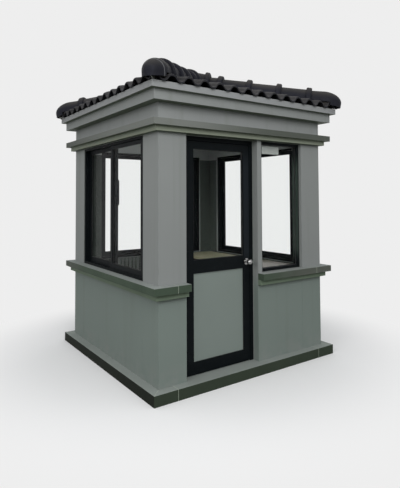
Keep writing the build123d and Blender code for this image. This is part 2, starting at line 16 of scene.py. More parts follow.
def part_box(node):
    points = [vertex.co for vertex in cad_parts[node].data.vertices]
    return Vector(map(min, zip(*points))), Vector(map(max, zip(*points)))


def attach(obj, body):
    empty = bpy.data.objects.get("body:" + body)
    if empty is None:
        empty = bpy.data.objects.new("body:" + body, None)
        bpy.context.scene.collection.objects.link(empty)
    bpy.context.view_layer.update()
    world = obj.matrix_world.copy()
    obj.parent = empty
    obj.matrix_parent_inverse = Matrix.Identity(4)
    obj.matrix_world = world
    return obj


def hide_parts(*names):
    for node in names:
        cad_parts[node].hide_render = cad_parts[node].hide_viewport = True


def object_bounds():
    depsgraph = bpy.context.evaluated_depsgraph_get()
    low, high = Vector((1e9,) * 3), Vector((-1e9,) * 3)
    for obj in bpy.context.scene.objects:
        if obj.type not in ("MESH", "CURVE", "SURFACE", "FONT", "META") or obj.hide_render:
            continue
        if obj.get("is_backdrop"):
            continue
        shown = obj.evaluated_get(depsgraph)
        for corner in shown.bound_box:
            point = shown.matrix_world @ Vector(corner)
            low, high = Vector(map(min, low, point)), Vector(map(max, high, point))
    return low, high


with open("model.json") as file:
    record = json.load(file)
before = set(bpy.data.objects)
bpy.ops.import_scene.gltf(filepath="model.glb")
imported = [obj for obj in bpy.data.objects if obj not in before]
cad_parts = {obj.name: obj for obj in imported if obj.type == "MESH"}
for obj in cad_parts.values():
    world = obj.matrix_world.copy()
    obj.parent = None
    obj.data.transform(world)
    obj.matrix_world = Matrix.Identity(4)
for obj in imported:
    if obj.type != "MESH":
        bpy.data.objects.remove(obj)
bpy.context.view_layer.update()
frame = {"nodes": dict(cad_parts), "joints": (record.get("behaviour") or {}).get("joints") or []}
scene = bpy.context.scene
MM = 0.001

# %% [markdown]
# ## Measuring the solids
# Every added piece takes its place from a solid's box, so that it stays right when the booth's
# sizes change. A window's two panes share one name, so one helper merges the loose triangles,
# walks over the islands that they form and gives a box for each. A second one turns what is
# made for the front round to another side.


# %% Boxes of the solids
def islands(node):
    """The lowest and highest corner of each separate solid in a node, left to right."""
    mesh = bmesh.new()
    mesh.from_mesh(frame["nodes"][node].data)
    bmesh.ops.remove_doubles(mesh, verts=mesh.verts, dist=0.01 * MM)
    waiting = set(mesh.verts)
    boxes = []
    while waiting:
        edge_of_search = [waiting.pop()]
        corners = []
        while edge_of_search:
            vertex = edge_of_search.pop()
            corners.append(vertex.co.copy())
            for edge in vertex.link_edges:
                other = edge.other_vert(vertex)
                if other in waiting:
                    waiting.remove(other)
                    edge_of_search.append(other)
        low = Vector([min(c[i] for c in corners) for i in range(3)])
        high = Vector([max(c[i] for c in corners) for i in range(3)])
        boxes.append((low, high))
    mesh.free()
    return sorted(boxes, key=lambda box: tuple(box[0]))


def quarter_turns(turns):
    """A rotation about Z that takes the front to another side."""
    return Matrix.Rotation(turns * pi / 2, 4, "Z")


SIDES = {"front": 0, "right": 1, "back": 2, "left": 3}  # quarter turns about Z
WALL_THICKNESS = 110 * MM
plinth_low, plinth_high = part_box("plinth")
pillar_low, pillar_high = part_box("pillar_front_left")
sill_low, sill_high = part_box("sill_left")
face = -pillar_low.y  # wall face from the middle
inner = face - WALL_THICKNESS  # inner wall face
print("wall faces", 2 * face, "apart, panes:", len(islands("window_glass_left")))


# %% [markdown]
# ## The camera
# Someone stood off the front left corner with the lens at eye height. A real lens pointed
# nearly level keeps the pillars upright. The small shift frames the booth without tilting it.


# %% Place the camera
def camera_turn(yaw, pitch, roll):
    """The rotation of a camera that looks along +Y, then turns right, up and over."""
    forward = Vector((sin(yaw) * cos(pitch), cos(yaw) * cos(pitch), sin(pitch)))
    right = Vector((cos(yaw), -sin(yaw), 0))
    up = right.cross(forward)
    rolled_right = cos(roll) * right + sin(roll) * up
    rolled_up = cos(roll) * up - sin(roll) * right
    return Matrix((rolled_right, rolled_up, -forward)).transposed()


camera = bpy.data.objects.new("camera", bpy.data.cameras.new("camera"))
scene.collection.objects.link(camera)
camera.rotation_mode = "QUATERNION"
camera.location = (-2.587, -3.903, 1.505)
look = camera_turn(yaw=radians(35.69), pitch=radians(2.15), roll=radians(-0.28))
camera.rotation_quaternion = look.to_quaternion()
camera.data.lens = 33.52
camera.data.shift_x = -0.0184
camera.data.shift_y = -0.1291
camera.data.clip_end = 100
scene.camera = camera
print("camera", tuple(round(v, 3) for v in camera.location), "lens", camera.data.lens)

# %% [markdown]
# ## Writing nodes as sums
# Blender's node trees are easier to read as arithmetic. One small class holds a socket and
# turns Python's operators into Math nodes, and one method of the tree adds every other node.
# The same two classes write the materials and the Geometry Nodes trees.


# %% Sockets and trees
class Wire:
    """An output socket that Python's operators work on."""

    def __init__(self, tree, socket):
        self.tree = tree
        self.socket = socket

    def __add__(self, other):
        return self.tree.math("ADD", self, other)

    def __radd__(self, other):
        return self.tree.math("ADD", other, self)

    def __sub__(self, other):
        return self.tree.math("SUBTRACT", self, other)

    def __rsub__(self, other):
        return self.tree.math("SUBTRACT", other, self)

    def __mul__(self, other):
        return self.tree.math("MULTIPLY", self, other)

    def __rmul__(self, other):
        return self.tree.math("MULTIPLY", other, self)

    def __truediv__(self, other):
        return self.tree.math("DIVIDE", self, other)

    def __mod__(self, other):
        return self.tree.math("FLOORED_MODULO", self, other)

    def __gt__(self, other):
        return self.tree.math("GREATER_THAN", self, other)

    def __lt__(self, other):
        return self.tree.math("LESS_THAN", self, other)


class Tree:
    """A node tree being written, with one method that adds any node."""

    def __init__(self, node_tree):
        self.node_tree = node_tree

    def node(self, kind, settings=None, values=None):
        """Add a node: its settings first, then what goes into its sockets."""
        made = self.node_tree.nodes.new(kind)
        for name, value in (settings or {}).items():
            setattr(made, name, value)
        for key, value in (values or {}).items():
            if isinstance(value, Wire):
                self.node_tree.links.new(value.socket, made.inputs[key])
            else:
                made.inputs[key].default_value = value
        outputs = {socket.name: Wire(self, socket) for socket in reversed(made.outputs)}
        outputs.update({i: Wire(self, socket) for i, socket in enumerate(made.outputs)})
        return outputs

    def math(self, operation, first, second=0.0):
        """One sum on sockets or numbers."""
        return self.node("ShaderNodeMath", {"operation": operation}, {0: first, 1: second})[0]

    def mix(self, share, first, second):
        """A colour between two others."""
        values = {0: share, 6: first, 7: second}
        return self.node("ShaderNodeMix", {"data_type": "RGBA"}, values)[2]

    def vector(self, x, y, z):
        """Three numbers as one vector."""
        return self.node("ShaderNodeCombineXYZ", None, {0: x, 1: y, 2: z})[0]

    def parts(self, vector):
        """The X, Y and Z of a vector."""
        split = self.node("ShaderNodeSeparateXYZ", None, {0: vector})
        return split[0], split[1], split[2]

    def together(self, shapes):
        """Several shapes of a Geometry Nodes tree as one."""
        whole = self.node("GeometryNodeJoinGeometry")[0]
        for shape in shapes:
            self.node_tree.links.new(shape.socket, whole.socket.node.inputs[0])
        return whole


print("operators:", [name for name in vars(Wire) if name.startswith("__")][1:])


# %% [markdown]
# ## Shared steps of a finish
# Real paint and concrete are never one flat colour. Each finish starts from a base colour,
# varies it with slow clouds and fine grain, and lets the same grain tilt the surface a little.
# Everything is measured in metres on the booth, so the grain has its true size. A plain finish
# takes its tone, roughness and relief from one grain, so one function makes all of those.


# %% Helpers for materials
def srgb(red, green, blue):
    """A colour given as it shows on a screen, from 0 to 255, as linear light."""
    def linear(value):
        value /= 255
        return value / 12.92 if value <= 0.04045 else ((value + 0.055) / 1.055) ** 2.4
    return (linear(red), linear(green), linear(blue), 1)


class Finish(Tree):
    """A material on its way to a Principled surface."""

    def __init__(self, name):
        self.material = bpy.data.materials.new(name)
        self.material.use_nodes = True
        super().__init__(self.material.node_tree)
        self.node_tree.nodes.clear()
        self.place = self.node("ShaderNodeTexCoord")["Object"]

    def noise(self, scale, detail=2.0, stretch=None):
        """Soft noise from 0 to 1, scale bumps to the metre, times stretch along X, Y and Z."""
        place = self.place
        if stretch:
            values = {0: place, 1: stretch}
            place = self.node("ShaderNodeVectorMath", {"operation": "MULTIPLY"}, values)[0]
        values = {"Vector": place, "Scale": scale, "Detail": detail}
        return self.node("ShaderNodeTexNoise", None, values)[0]

    def step(self, value, start, end):
        """0 below start, 1 above end and a smooth climb between."""
        values = {"Value": value, "From Min": start, "From Max": end}
        return self.node("ShaderNodeMapRange", {"interpolation_type": "SMOOTHSTEP"}, values)[0]

    def inside(self):
        """1 on the room's own surfaces, 0 on everything outside them."""
        x, y, z = self.parts(self.place)
        limit = inner + 8 * MM
        return (x < limit) * (x > -limit) * (y < limit) * (y > -limit)

    def facing_up(self, start=0.45):
        """1 on what faces the sky, 0 on walls; start is the tilt that begins to count."""
        normal = self.node("ShaderNodeNewGeometry")["Normal"]
        return self.step(self.parts(normal)[2], start, 0.8)

    def facing_down(self):
        """1 on what faces the ground, 0 on walls."""
        normal = self.node("ShaderNodeNewGeometry")["Normal"]
        return self.step(0 - self.parts(normal)[2], 0.45, 0.8)

    def scaled(self, colour, level):
        """A colour times a level."""
        settings = {"data_type": "RGBA", "blend_type": "MULTIPLY"}
        values = {0: 1.0, 6: colour, 7: self.vector(level, level, level)}
        return self.node("ShaderNodeMix", settings, values)[2]

    def bump(self, height, depth):
        """The normal of a surface whose height varies by depth metres."""
        values = {"Height": height, "Distance": depth, "Strength": 1.0}
        return self.node("ShaderNodeBump", None, values)[0]

    def surface(self, **sockets):
        """Close the material with a Principled surface and give it back."""
        values = {name.replace("_", " "): value for name, value in sockets.items()}
        shader = self.node("ShaderNodeBsdfPrincipled", None, values)[0]
        self.node("ShaderNodeOutputMaterial", None, {"Surface": shader})
        return self.material


def plain_finish(name, dark, light, grain, rough, gain=0.0, depth=0.0, **sockets):
    """One grain gives the tone, adds gain to the roughness and makes depth metres of relief."""
    finish = Finish(name)
    speckle = finish.noise(*grain)
    if depth:
        sockets["Normal"] = finish.bump(speckle, depth)
    if gain:
        rough = rough + gain * speckle
    return finish.surface(Base_Color=finish.mix(speckle, dark, light), Roughness=rough, **sockets)


def dress(names, material):
    """Give solids of the booth a finish."""
    for name in names:
        slots = frame["nodes"][name].data.materials
        slots.clear()
        slots.append(material)


print("mid grey", [round(v, 3) for v in srgb(128, 128, 128)[:3]])

# %% [markdown]
# ## Coated wall panels
# Pillars, walls and cornice are panels with a sprayed grey coat. Below the sill the grey is a
# little greener, a painted reflection of green ground. The coat has a faint orange peel, slow
# clouds and thin upright runs of dust, which come from noise drawn out along Z. Near the ground
# it has pale patches of painted light, as if bounced up off the floor, and what faces down is
# painted darker as shade. The cornice comes in courses: an olive-grey bead, an architrave that
# darkens away from the front left corner, a fascia made paler by painted light, and a strip of
# dark felt over it, which also paints the shade under the tiles. Inside, the lining is painted
# dark as shade, darker behind the boards than above them, and the colour overhead carries
# painted light, paler toward the left window. All of these are colours of the material, so they
# stay as they are when the lamps move.


# %% Levels of the panels
BEAD_HEIGHT = 40 * MM
ARCHITRAVE_HEIGHT = 50 * MM
FASCIA_HEIGHT = 50 * MM
FELT_GAP = 6 * MM  # from the fascia's top to the felt
architrave_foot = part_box("cornice_front")[0].z + BEAD_HEIGHT
fascia_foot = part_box("roof_front")[0].z - FASCIA_HEIGHT
green_from, green_to = sill_high.z + 15 * MM, sill_low.z - 45 * MM
# Heights of the painted light near the ground, as if bounced up off the floor.
bounce_light_from, bounce_light_to = plinth_high.z + 215 * MM, plinth_high.z + 5 * MM
# The lining inside is painted dark as shade, darker below dado_top; above overhead the colour
# carries painted light.
dado_top = sill_high.z - 45 * MM  # the lining is darker below this
overhead = pillar_high.z - 35 * MM  # ceiling paint above
print("bead from", round(architrave_foot - BEAD_HEIGHT, 3), "fascia from", round(fascia_foot, 3))


# %% Panel coat
def ceiling_tone_with_light(finish):
    """The colour overhead, with painted light: paler toward the left window."""
    x = finish.parts(finish.place)[0]
    return finish.mix(finish.step(x, -0.20, 0.05), srgb(182, 186, 184), srgb(130, 134, 132))


def panel_coat():
    finish = Finish("panel_coat")
    x, y, height = finish.parts(finish.place)
    # Greener below the sill: a painted reflection of green ground.
    upper = srgb(131, 134, 133)
    lower = srgb(116, 126, 121)
    colour = finish.mix(finish.step(height, green_to, green_from), lower, upper)
    band = (height > architrave_foot) * (height < architrave_foot + ARCHITRAVE_HEIGHT)
    from_corner = x + face + 0.55 * (y + face)  # 0 at the front left corner
    along = finish.step(from_corner, 0.15, 1.1)
    colour = finish.mix(band, colour, finish.mix(along, srgb(109, 112, 108), srgb(78, 82, 76)))
    bead = (height > architrave_foot - BEAD_HEIGHT) * (height < architrave_foot)
    colour = finish.mix(bead, colour, srgb(126, 132, 118))
    # The fascia is painted paler: painted light on the cornice's top band.
    colour = finish.mix(height > fascia_foot, colour, srgb(138, 140, 141))
    # Dark felt over the fascia, which also paints the shade in the gaps under the tile waves.
    felt_and_shade = height > fascia_foot + FASCIA_HEIGHT + FELT_GAP
    colour = finish.mix(felt_and_shade, colour, srgb(26, 27, 27))
    clouds = finish.noise(1.7, 3.0)
    runs = finish.step(finish.noise(1.0, 4.0, (16, 16, 0.6)), 0.50, 0.85)
    colour = finish.scaled(colour, 0.92 + 0.16 * clouds)
    colour = finish.mix(0.22 * runs, colour, srgb(98, 102, 92))
    # Pale patches near the ground: painted light, as if bounced up off the floor.
    near_ground = 1 - finish.step(height, bounce_light_to, bounce_light_from)
    bounce_light = near_ground * finish.step(finish.noise(9.0, 4.0), 0.35, 0.7)
    colour = finish.mix(0.45 * bounce_light, colour, srgb(132, 134, 131))
    # What faces down is painted a darker green-grey: painted shade under the mouldings.
    colour = finish.mix(0.8 * finish.facing_down(), colour, srgb(94, 103, 86))
    # The room's own surfaces: painted shade on the lining, darker behind the boards, and painted
    # light overhead.
    lining = finish.mix(height > dado_top, srgb(24, 26, 25), srgb(62, 68, 64))
    lining = finish.mix(height > overhead, lining, ceiling_tone_with_light(finish))
    colour = finish.mix(finish.inside(), colour, lining)
    peel = finish.noise(260.0, 2.0)
    return finish.surface(
        Base_Color=colour,
        Roughness=0.55 + 0.14 * clouds,
        Specular_IOR_Level=0.15,
        Normal=finish.bump(peel, 0.25 * MM),
    )


panel = panel_coat()
coated = ("pillar", "lower_wall", "cornice", "door_post")
walls = [n for n in frame["nodes"] if n.startswith(coated)]
dress(walls, panel)
print("coated panels:", len(walls))

# %% [markdown]
# ## Stone-faced plinth and sills
# The plinth and the sill mouldings are a dark green-grey faced stone, cut in lengths with a
# joint near each corner. Dust lies on what faces up, so the ledges are pale and the faces dark.
# A mask from the surface's own upward tilt puts the dust there. The sills' cap goes greyer
# toward the right and the back, and the plinth's left faces are darker than the others.


# %% Faced stone
def faced_stone(name, stone, dust, upper_stone=None, upper_from=0.0, left_stone=None):
    """A stone facing with dust on its ledges.

    Above upper_from it is another stone, which goes greyer toward the right and the back.
    What faces left may have a tone of its own.
    """
    finish = Finish(name)
    if upper_stone:
        x, y, height = finish.parts(finish.place)
        away = finish.step(finish.math("MAXIMUM", x, y - 0.3), 0.0, 0.7)
        upper_stone = finish.mix(0.55 * away, upper_stone, srgb(98, 97, 94))
        stone = finish.mix(height > upper_from, stone, upper_stone)
    grain = finish.noise(420.0, 2.0)
    clouds = finish.noise(5.0, 4.0)
    if left_stone:
        normal = finish.node("ShaderNodeNewGeometry")["Normal"]
        stone = finish.mix(finish.parts(normal)[0] < -0.7, stone, left_stone)
    colour = finish.scaled(stone, 0.80 + 0.40 * clouds)
    colour = finish.scaled(colour, 0.86 + 0.28 * grain)
    settled = finish.facing_up() * (0.80 + 0.25 * clouds)
    colour = finish.mix(settled, colour, dust)
    return finish.surface(
        Base_Color=colour,
        Roughness=0.55 + 0.35 * finish.facing_up() * clouds,
        Specular_IOR_Level=0.05,
        Normal=finish.bump(grain, 0.15 * MM),
    )


SILL_CAP_HEIGHT = 55 * MM
cap_foot = sill_high.z - SILL_CAP_HEIGHT
plinth_tones = (srgb(55, 63, 53), srgb(134, 140, 136))
plinth_stone = faced_stone("plinth_stone", *plinth_tones, left_stone=srgb(24, 29, 22))
sill_tones = (srgb(104, 117, 101), srgb(136, 141, 138), srgb(66, 78, 66))
sill_stone = faced_stone("sill_stone", *sill_tones, upper_from=cap_foot)
dress(["plinth"], plinth_stone)
dress([n for n in frame["nodes"] if n.startswith("sill")], sill_stone)
print("stone:", plinth_stone.name, sill_stone.name)

# %% [markdown]
# ## Roof tile concrete
# The tiles are through-coloured concrete with a thin dark coat. The coat is open in small
# patches, where it turns from near black to a brown grey, and each tile is a little lighter or
# darker than its neighbours. That last part comes from a number stored on each loose tile, and
# on the hips from where the tile lies. One end cap carries a painted highlight along its rim.


# %% Tile concrete
def tile_concrete(name, per_tile, coat, open_coat, top, level=1.0, painted_highlight=None):
    """Dark tile concrete; per_tile gives a 0 to 1 number for each tile, top is what faces up."""
    finish = Finish(name)
    tone = per_tile(finish)
    grain = finish.noise(380.0, 3.0)
    patches = finish.step(finish.noise(26.0, 5.0), 0.42, 0.66)
    colour = finish.mix(patches, coat, open_coat)
    colour = finish.mix(finish.facing_up(0.1) * (0.3 + finish.noise(7.0, 3.0)), colour, top)
    colour = finish.scaled(colour, level * (0.76 + 0.48 * tone))
    # A painted highlight along the rim of one end cap.
    if painted_highlight:
        colour = finish.mix(0.8 * painted_highlight(finish), colour, srgb(120, 121, 124))
    return finish.surface(
        Base_Color=colour,
        Roughness=0.55 + 0.2 * patches,
        Specular_IOR_Level=0.15,
        Normal=finish.bump(grain + 0.6 * patches, 0.8 * MM),
    )


def stored_tone(finish):
    """The number that was stored on each loose tile."""
    return finish.node("ShaderNodeAttribute", {"attribute_name": "tile_tone"})["Fac"]


PITCH = radians(14.3)
HIP_TIP = atan(tan(PITCH) / sqrt(2))  # a hip falls less steeply than a slope
WAVE_HEIGHT = 46 * MM
TILE_THICKNESS = 13 * MM
HIP_COVER = 298 * MM  # one hip tile's visible length
HIP_FOOT = 79 * MM  # from a hip tile's foot to its middle
CAP_OVERHANG = 25 * MM
CAP_DOME = 170 * MM
HIGHLIGHT_WIDTH = 12 * MM
roof_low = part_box("roof_front")[0]
eave = -roof_low.y  # eave line from the middle
eave_seat = roof_low.z
crest = eave_seat + WAVE_HEIGHT + TILE_THICKNESS  # a wave's top at the eave
hip_top = crest + eave * tan(PITCH) - HIP_FOOT * tan(HIP_TIP)
cap_edge = (eave * sqrt(2) + CAP_OVERHANG) / cos(HIP_TIP) - CAP_DOME / 2


def cap_highlight(finish):
    """Where the painted highlight goes: 1 along the front half of one rim, on the end cap at the
    front left corner.
    """
    x, y, z = finish.parts(finish.place)
    diagonal = (finish.math("ABSOLUTE", x) + finish.math("ABSOLUTE", y)) * (1 / sqrt(2))
    down = diagonal * cos(HIP_TIP) + (hip_top - z) * sin(HIP_TIP)
    rising = finish.step(down, cap_edge - HIGHLIGHT_WIDTH / 2, cap_edge)
    falling = 1 - finish.step(down, cap_edge, cap_edge + HIGHLIGHT_WIDTH / 2)
    return rising * falling * (x < 0) * (x > y)


def hip_tone(finish):
    """A number for each hip tile, from how far down which hip it lies."""
    x, y, z = finish.parts(finish.place)
    reach = finish.math("SQRT", x * x + y * y)
    row = finish.math("FLOOR", reach / HIP_COVER)
    corner = (x > 0) + 2 * (y > 0)
    values = {"Vector": finish.vector(row, corner, 0.0)}
    return finish.node("ShaderNodeTexWhiteNoise", None, values)[0]


field_coat = (srgb(27, 28, 33), srgb(41, 40, 42), srgb(59, 58, 58))
field_tile = tile_concrete("field_tile", stored_tone, *field_coat)
hip_coat = (srgb(25, 27, 38), srgb(38, 39, 48), srgb(68, 66, 64))
hip_tile = tile_concrete("hip_tile", hip_tone, *hip_coat, level=0.68, painted_highlight=cap_highlight)
dress(["hip_tiles", "apex_cap"], hip_tile)
print("tile finishes:", field_tile.name, hip_tile.name)

# %% [markdown]
# ## Metals, sheet and board
# The frames are near-black powder-coated aluminium, the knob is polished stainless steel and
# the lower half of the door is one grey-green sheet. Powder coat has a fine, even texture.
# The lock stile and the front window's right jamb each carry a paler upright band, a painted
# reflection. Polished steel has a fine grain along the spindle, and the sheet has one that runs
# upright.


# %% Powder coat, steel and sheet
# The paler bands on the black coat are painted reflection, faded in and out between these heights.
SHEEN_RISES = (0.90, 1.05)  # heights between which a band fades in
SHEEN_FADES = (1.75, 1.95)  # and out
BLACK_COAT = srgb(13, 17, 19)


def powder_coat(name, colour, band=None, left=0.0, right=0.0):
    """A powder coat: even colour, fine texture, rub marks and a paler band of painted reflection
    from left to right.
    """
    finish = Finish(name)
    if band:
        x, y, z = finish.parts(finish.place)
        soft = 5 * MM
        across = finish.step(x, left - soft, left + soft)
        across = across * (1 - finish.step(x, right - soft, right + soft))
        upright = finish.step(z, *SHEEN_RISES) * (1 - finish.step(z, *SHEEN_FADES))
        colour = finish.mix(across * upright, colour, band)
    texture = finish.noise(900.0, 1.0)
    rubbed = finish.step(finish.noise(22.0, 4.0), 0.50, 0.8)
    return finish.surface(
        Base_Color=finish.mix(0.2 * rubbed, colour, srgb(34, 38, 41)),
        Roughness=0.45 + 0.14 * rubbed,
        Specular_IOR_Level=0.05,
        Normal=finish.bump(texture, 0.05 * MM),
    )


def door_sheet():
    finish = Finish("door_sheet")
    grain = finish.noise(1.0, 4.0, (260, 260, 6))
    clouds = finish.noise(3.0, 2.0)
    colour = finish.scaled(srgb(116, 126, 121), 0.93 + 0.14 * clouds)
    return finish.surface(
        Base_Color=finish.scaled(colour, 0.97 + 0.06 * grain),
        Roughness=0.38 + 0.12 * grain,
        Normal=finish.bump(grain, 0.05 * MM),
    )


def sheen_banded_coat(name, node, band, left, right):
    """The black coat with a band of painted reflection between two distances from the right edge of
    a solid.
    """
    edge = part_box(node)[1].x
    return powder_coat(name, BLACK_COAT, band, edge + left, edge + right)


frame_coat = powder_coat("frame_coat", BLACK_COAT)
# Upright bands of painted reflection on the lock stile and the front window's right jamb.
door_coat = sheen_banded_coat("door_coat", "door_leaf", srgb(28, 32, 36), -62 * MM, 9 * MM)
jamb_coat = sheen_banded_coat("jamb_coat", "window_frame_front", srgb(52, 62, 57), -42 * MM, -12 * MM)
steel_tones = (srgb(126, 126, 126), srgb(160, 160, 159))
steel_grain = (1.0, 3.0, (900, 120, 900))
steel = plain_finish("polished_steel", *steel_tones, steel_grain, 0.10, gain=0.10, Metallic=1.0)
black = ("window_frame", "window_sashes", "door_frame")
dress([n for n in frame["nodes"] if n.startswith(black)], frame_coat)
dress(["door_leaf"], door_coat)
dress(["window_frame_front"], jamb_coat)
dress(["door_knob", "door_roses"], steel)
dress(["door_panel"], door_sheet())
print("frames and door dressed")


# %% Inside surfaces
def desk_board():
    """A laminated board with a long grain along the wall, greyer at its front end."""
    finish = Finish("desk_board")
    grain = finish.noise(1.0, 5.0, (90, 4, 90))
    front_end = 1 - finish.step(finish.parts(finish.place)[1], -0.5, 0.1)
    colour = finish.mix(grain, srgb(120, 118, 94), srgb(140, 137, 112))
    return finish.surface(
        Base_Color=finish.mix(0.85 * front_end, colour, srgb(122, 118, 116)),
        Roughness=0.40 + 0.15 * grain,
        Normal=finish.bump(grain, 0.1 * MM),
    )


def floor_sheet():
    """A flecked vinyl floor sheet."""
    finish = Finish("floor_sheet")
    flecks = finish.step(finish.noise(140.0, 1.0), 0.58, 0.62)
    clouds = finish.noise(3.0, 3.0)
    colour = finish.mix(0.4 * flecks, srgb(60, 62, 60), srgb(88, 90, 86))
    colour = finish.scaled(colour, 0.85 + 0.3 * clouds)
    return finish.surface(Base_Color=colour, Roughness=0.45 + 0.2 * clouds)


def ceiling_board():
    """A ceiling of smooth boards with narrow shadow joints, its colour carrying painted light."""
    finish = Finish("ceiling_board")
    board_width, joint_width = 400 * MM, 4 * MM
    joint = finish.parts(finish.place)[0] % board_width < joint_width
    clouds = finish.noise(2.0, 2.0)
    colour = finish.scaled(ceiling_tone_with_light(finish), 0.94 + 0.12 * clouds)
    return finish.surface(
        Base_Color=finish.mix(joint, colour, srgb(40, 42, 40)),
        Roughness=0.55 + 0.1 * clouds,
        Normal=finish.bump(1 - joint, 1.0 * MM),
    )


dress(["desk"], desk_board())
dress(["floor"], floor_sheet())
dress(["ceiling"], ceiling_board())
print("inside dressed")


# %% [markdown]
# ## Window glass
# Panes bend light so little that only their shine and a trace of green show. Glass in Cycles
# would leave the room behind it dark, because lamp light only gets through it as a caustic. So
# rays on their way to a lamp meet a clear shader in place of the glass.


# %% Glass
def window_glass():
    finish = Finish("window_glass")
    tint = (0.98, 0.99, 0.985, 1)
    glass = {"Base Color": tint, "Roughness": 0.0, "IOR": 1.06, "Transmission Weight": 1.0}
    shine = finish.node("ShaderNodeBsdfPrincipled", None, glass)[0]
    clear = finish.node("ShaderNodeBsdfTransparent", None, {"Color": tint})[0]
    to_lamp = finish.node("ShaderNodeLightPath")["Is Shadow Ray"]
    pane = finish.node("ShaderNodeMixShader", None, {0: to_lamp, 1: shine, 2: clear})[0]
    finish.node("ShaderNodeOutputMaterial", None, {"Surface": pane})
    return finish.material


glass_nodes = [n for n in frame["nodes"] if "glass" in n]
dress(glass_nodes, window_glass())
print("panes:", glass_nodes)

# %% [markdown]
# ## Making pieces
# Two kinds of piece are added. A plain one is built in mesh code, mostly from boxes. A repeated
# one comes out of a Geometry Nodes tree: an empty mesh carries the tree as a modifier, the
# result is copied off as a plain mesh, and the modifier goes before the booth takes the piece.


# %% Helpers for pieces
def added(name, mesh, body, material=None):
    """Make a mesh a piece of the booth that rides on one of its bodies."""
    piece = bpy.data.objects.new(name, mesh)
    scene.collection.objects.link(piece)
    if material:
        mesh.materials.clear()
        mesh.materials.append(material)
    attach(piece, body)
    print(name, "has", sum(len(p.vertices) - 2 for p in mesh.polygons), "triangles")
    return piece


def finished(work, name):
    """Close a piece of mesh code and give its mesh."""
    mesh = bpy.data.meshes.new(name)
    work.to_mesh(mesh)
    work.free()
    return mesh


def boxes_mesh(name, boxes, bevel=0.0):
    """One mesh of upright boxes, each a low and a high corner, with eased edges."""
    work = bmesh.new()
    for low, high in boxes:
        low, high = Vector(low), Vector(high)
        size = high - low
        place = Matrix.Translation((low + high) / 2) @ Matrix.Diagonal((*size, 1))
        bmesh.ops.create_cube(work, size=1, matrix=place)
    if bevel:
        edges = work.edges[:]
        bmesh.ops.bevel(work, geom=edges, offset=bevel, segments=2, profile=0.5, affect="EDGES")
    return finished(work, name)


class Maker(Tree):
    """A Geometry Nodes tree with named inputs."""

    def __init__(self, name, sizes):
        super().__init__(bpy.data.node_groups.new(name, "GeometryNodeTree"))
        self.keys = {}
        sockets = self.node_tree.interface
        for label, value in sizes.items():
            kind = "NodeSocketInt" if isinstance(value, int) else "NodeSocketFloat"
            socket = sockets.new_socket(label, in_out="INPUT", socket_type=kind)
            socket.default_value = value
            self.keys[label] = socket.identifier
        sockets.new_socket("Mesh", in_out="OUTPUT", socket_type="NodeSocketGeometry")
        self.sizes = self.node("NodeGroupInput")

    def painted(self, shape, material):
        """A shape with its material."""
        values = {"Geometry": shape, "Material": material}
        return self.node("GeometryNodeSetMaterial", None, values)[0]

    def on_points(self, spots, shape):
        """A copy of a shape on each point."""
        values = {"Points": spots, "Instance": shape}
        return self.node("GeometryNodeInstanceOnPoints", None, values)[0]

    def row(self, shape, count, pitch, axis):
        """Copies of a shape along X, Y or Z (0, 1 or 2), centred on the origin."""
        first, each = [0.0, 0.0, 0.0], [0.0, 0.0, 0.0]
        first[axis], each[axis] = (count - 1) * pitch * -0.5, pitch
        values = {
            "Count": count,
            "Start Location": self.vector(*first),
            "Offset": self.vector(*each),
        }
        return self.on_points(self.node("GeometryNodeMeshLine", None, values)[0], shape)

    def close(self, shape, material=None):
        """End the tree: real copies in place of instances, with their material."""
        real = self.node("GeometryNodeRealizeInstances", None, {0: shape})[0]
        self.node("NodeGroupOutput", None, {0: self.painted(real, material) if material else real})
        return self

    def mesh(self, name, **sizes):
        """Run the tree with these sizes and copy its result off as a plain mesh."""
        carrier = bpy.data.objects.new(name, bpy.data.meshes.new(name))
        scene.collection.objects.link(carrier)
        modifier = carrier.modifiers.new("maker", "NODES")
        modifier.node_group = self.node_tree
        for label, value in sizes.items():
            modifier[self.keys[label.replace("_", " ")]] = value
        graph = bpy.context.evaluated_depsgraph_get()
        mesh = bpy.data.meshes.new_from_object(carrier.evaluated_get(graph))
        carrier.modifiers.remove(modifier)
        bpy.data.objects.remove(carrier)
        return mesh


def joined(name, meshes):
    """Several meshes as one."""
    work = bmesh.new()
    for mesh in meshes:
        work.from_mesh(mesh)
    whole = finished(work, name)
    for material in meshes[0].materials:
        whole.materials.append(material)
    return whole


def smooth(mesh, sharp_from):
    """Shade a mesh smooth, but for edges sharper than an angle in degrees."""
    mesh.shade_smooth()
    mesh.set_sharp_from_angle(angle=radians(sharp_from))


print("makers ready")

# %% [markdown]
# ## Roof tiles
# Each slope carries three courses of double-wave tiles. A tile is a wave line drawn out along
# the slope and thickened, so the tree follows the same rule: arcs that swing up and down give
# the wave, one step rounds the nose, and a grid of points sets the tiles in courses. Each tile
# is shifted by a hair and stores its own tone.


# %% Sizes of the tiling
WAVES = 14  # waves along an eave
COURSES = 3
TILE_BITE = 1 * MM
TILE_LAP = 45 * MM  # what the next course covers
NOSE_ROUND = 3 * MM
course_run = eave / COURSES
tile_step = TILE_THICKNESS - TILE_BITE
course_slope = tan(PITCH) - tile_step / course_run
half_wave = eave / WAVES
arc_sag = WAVE_HEIGHT / 2
arc_radius = ((half_wave / 2) ** 2 + arc_sag ** 2) / (2 * arc_sag)
arc_half_angle = asin(half_wave / 2 / arc_radius)
print("wave", round(2 * half_wave, 4), "course run", round(course_run, 3))


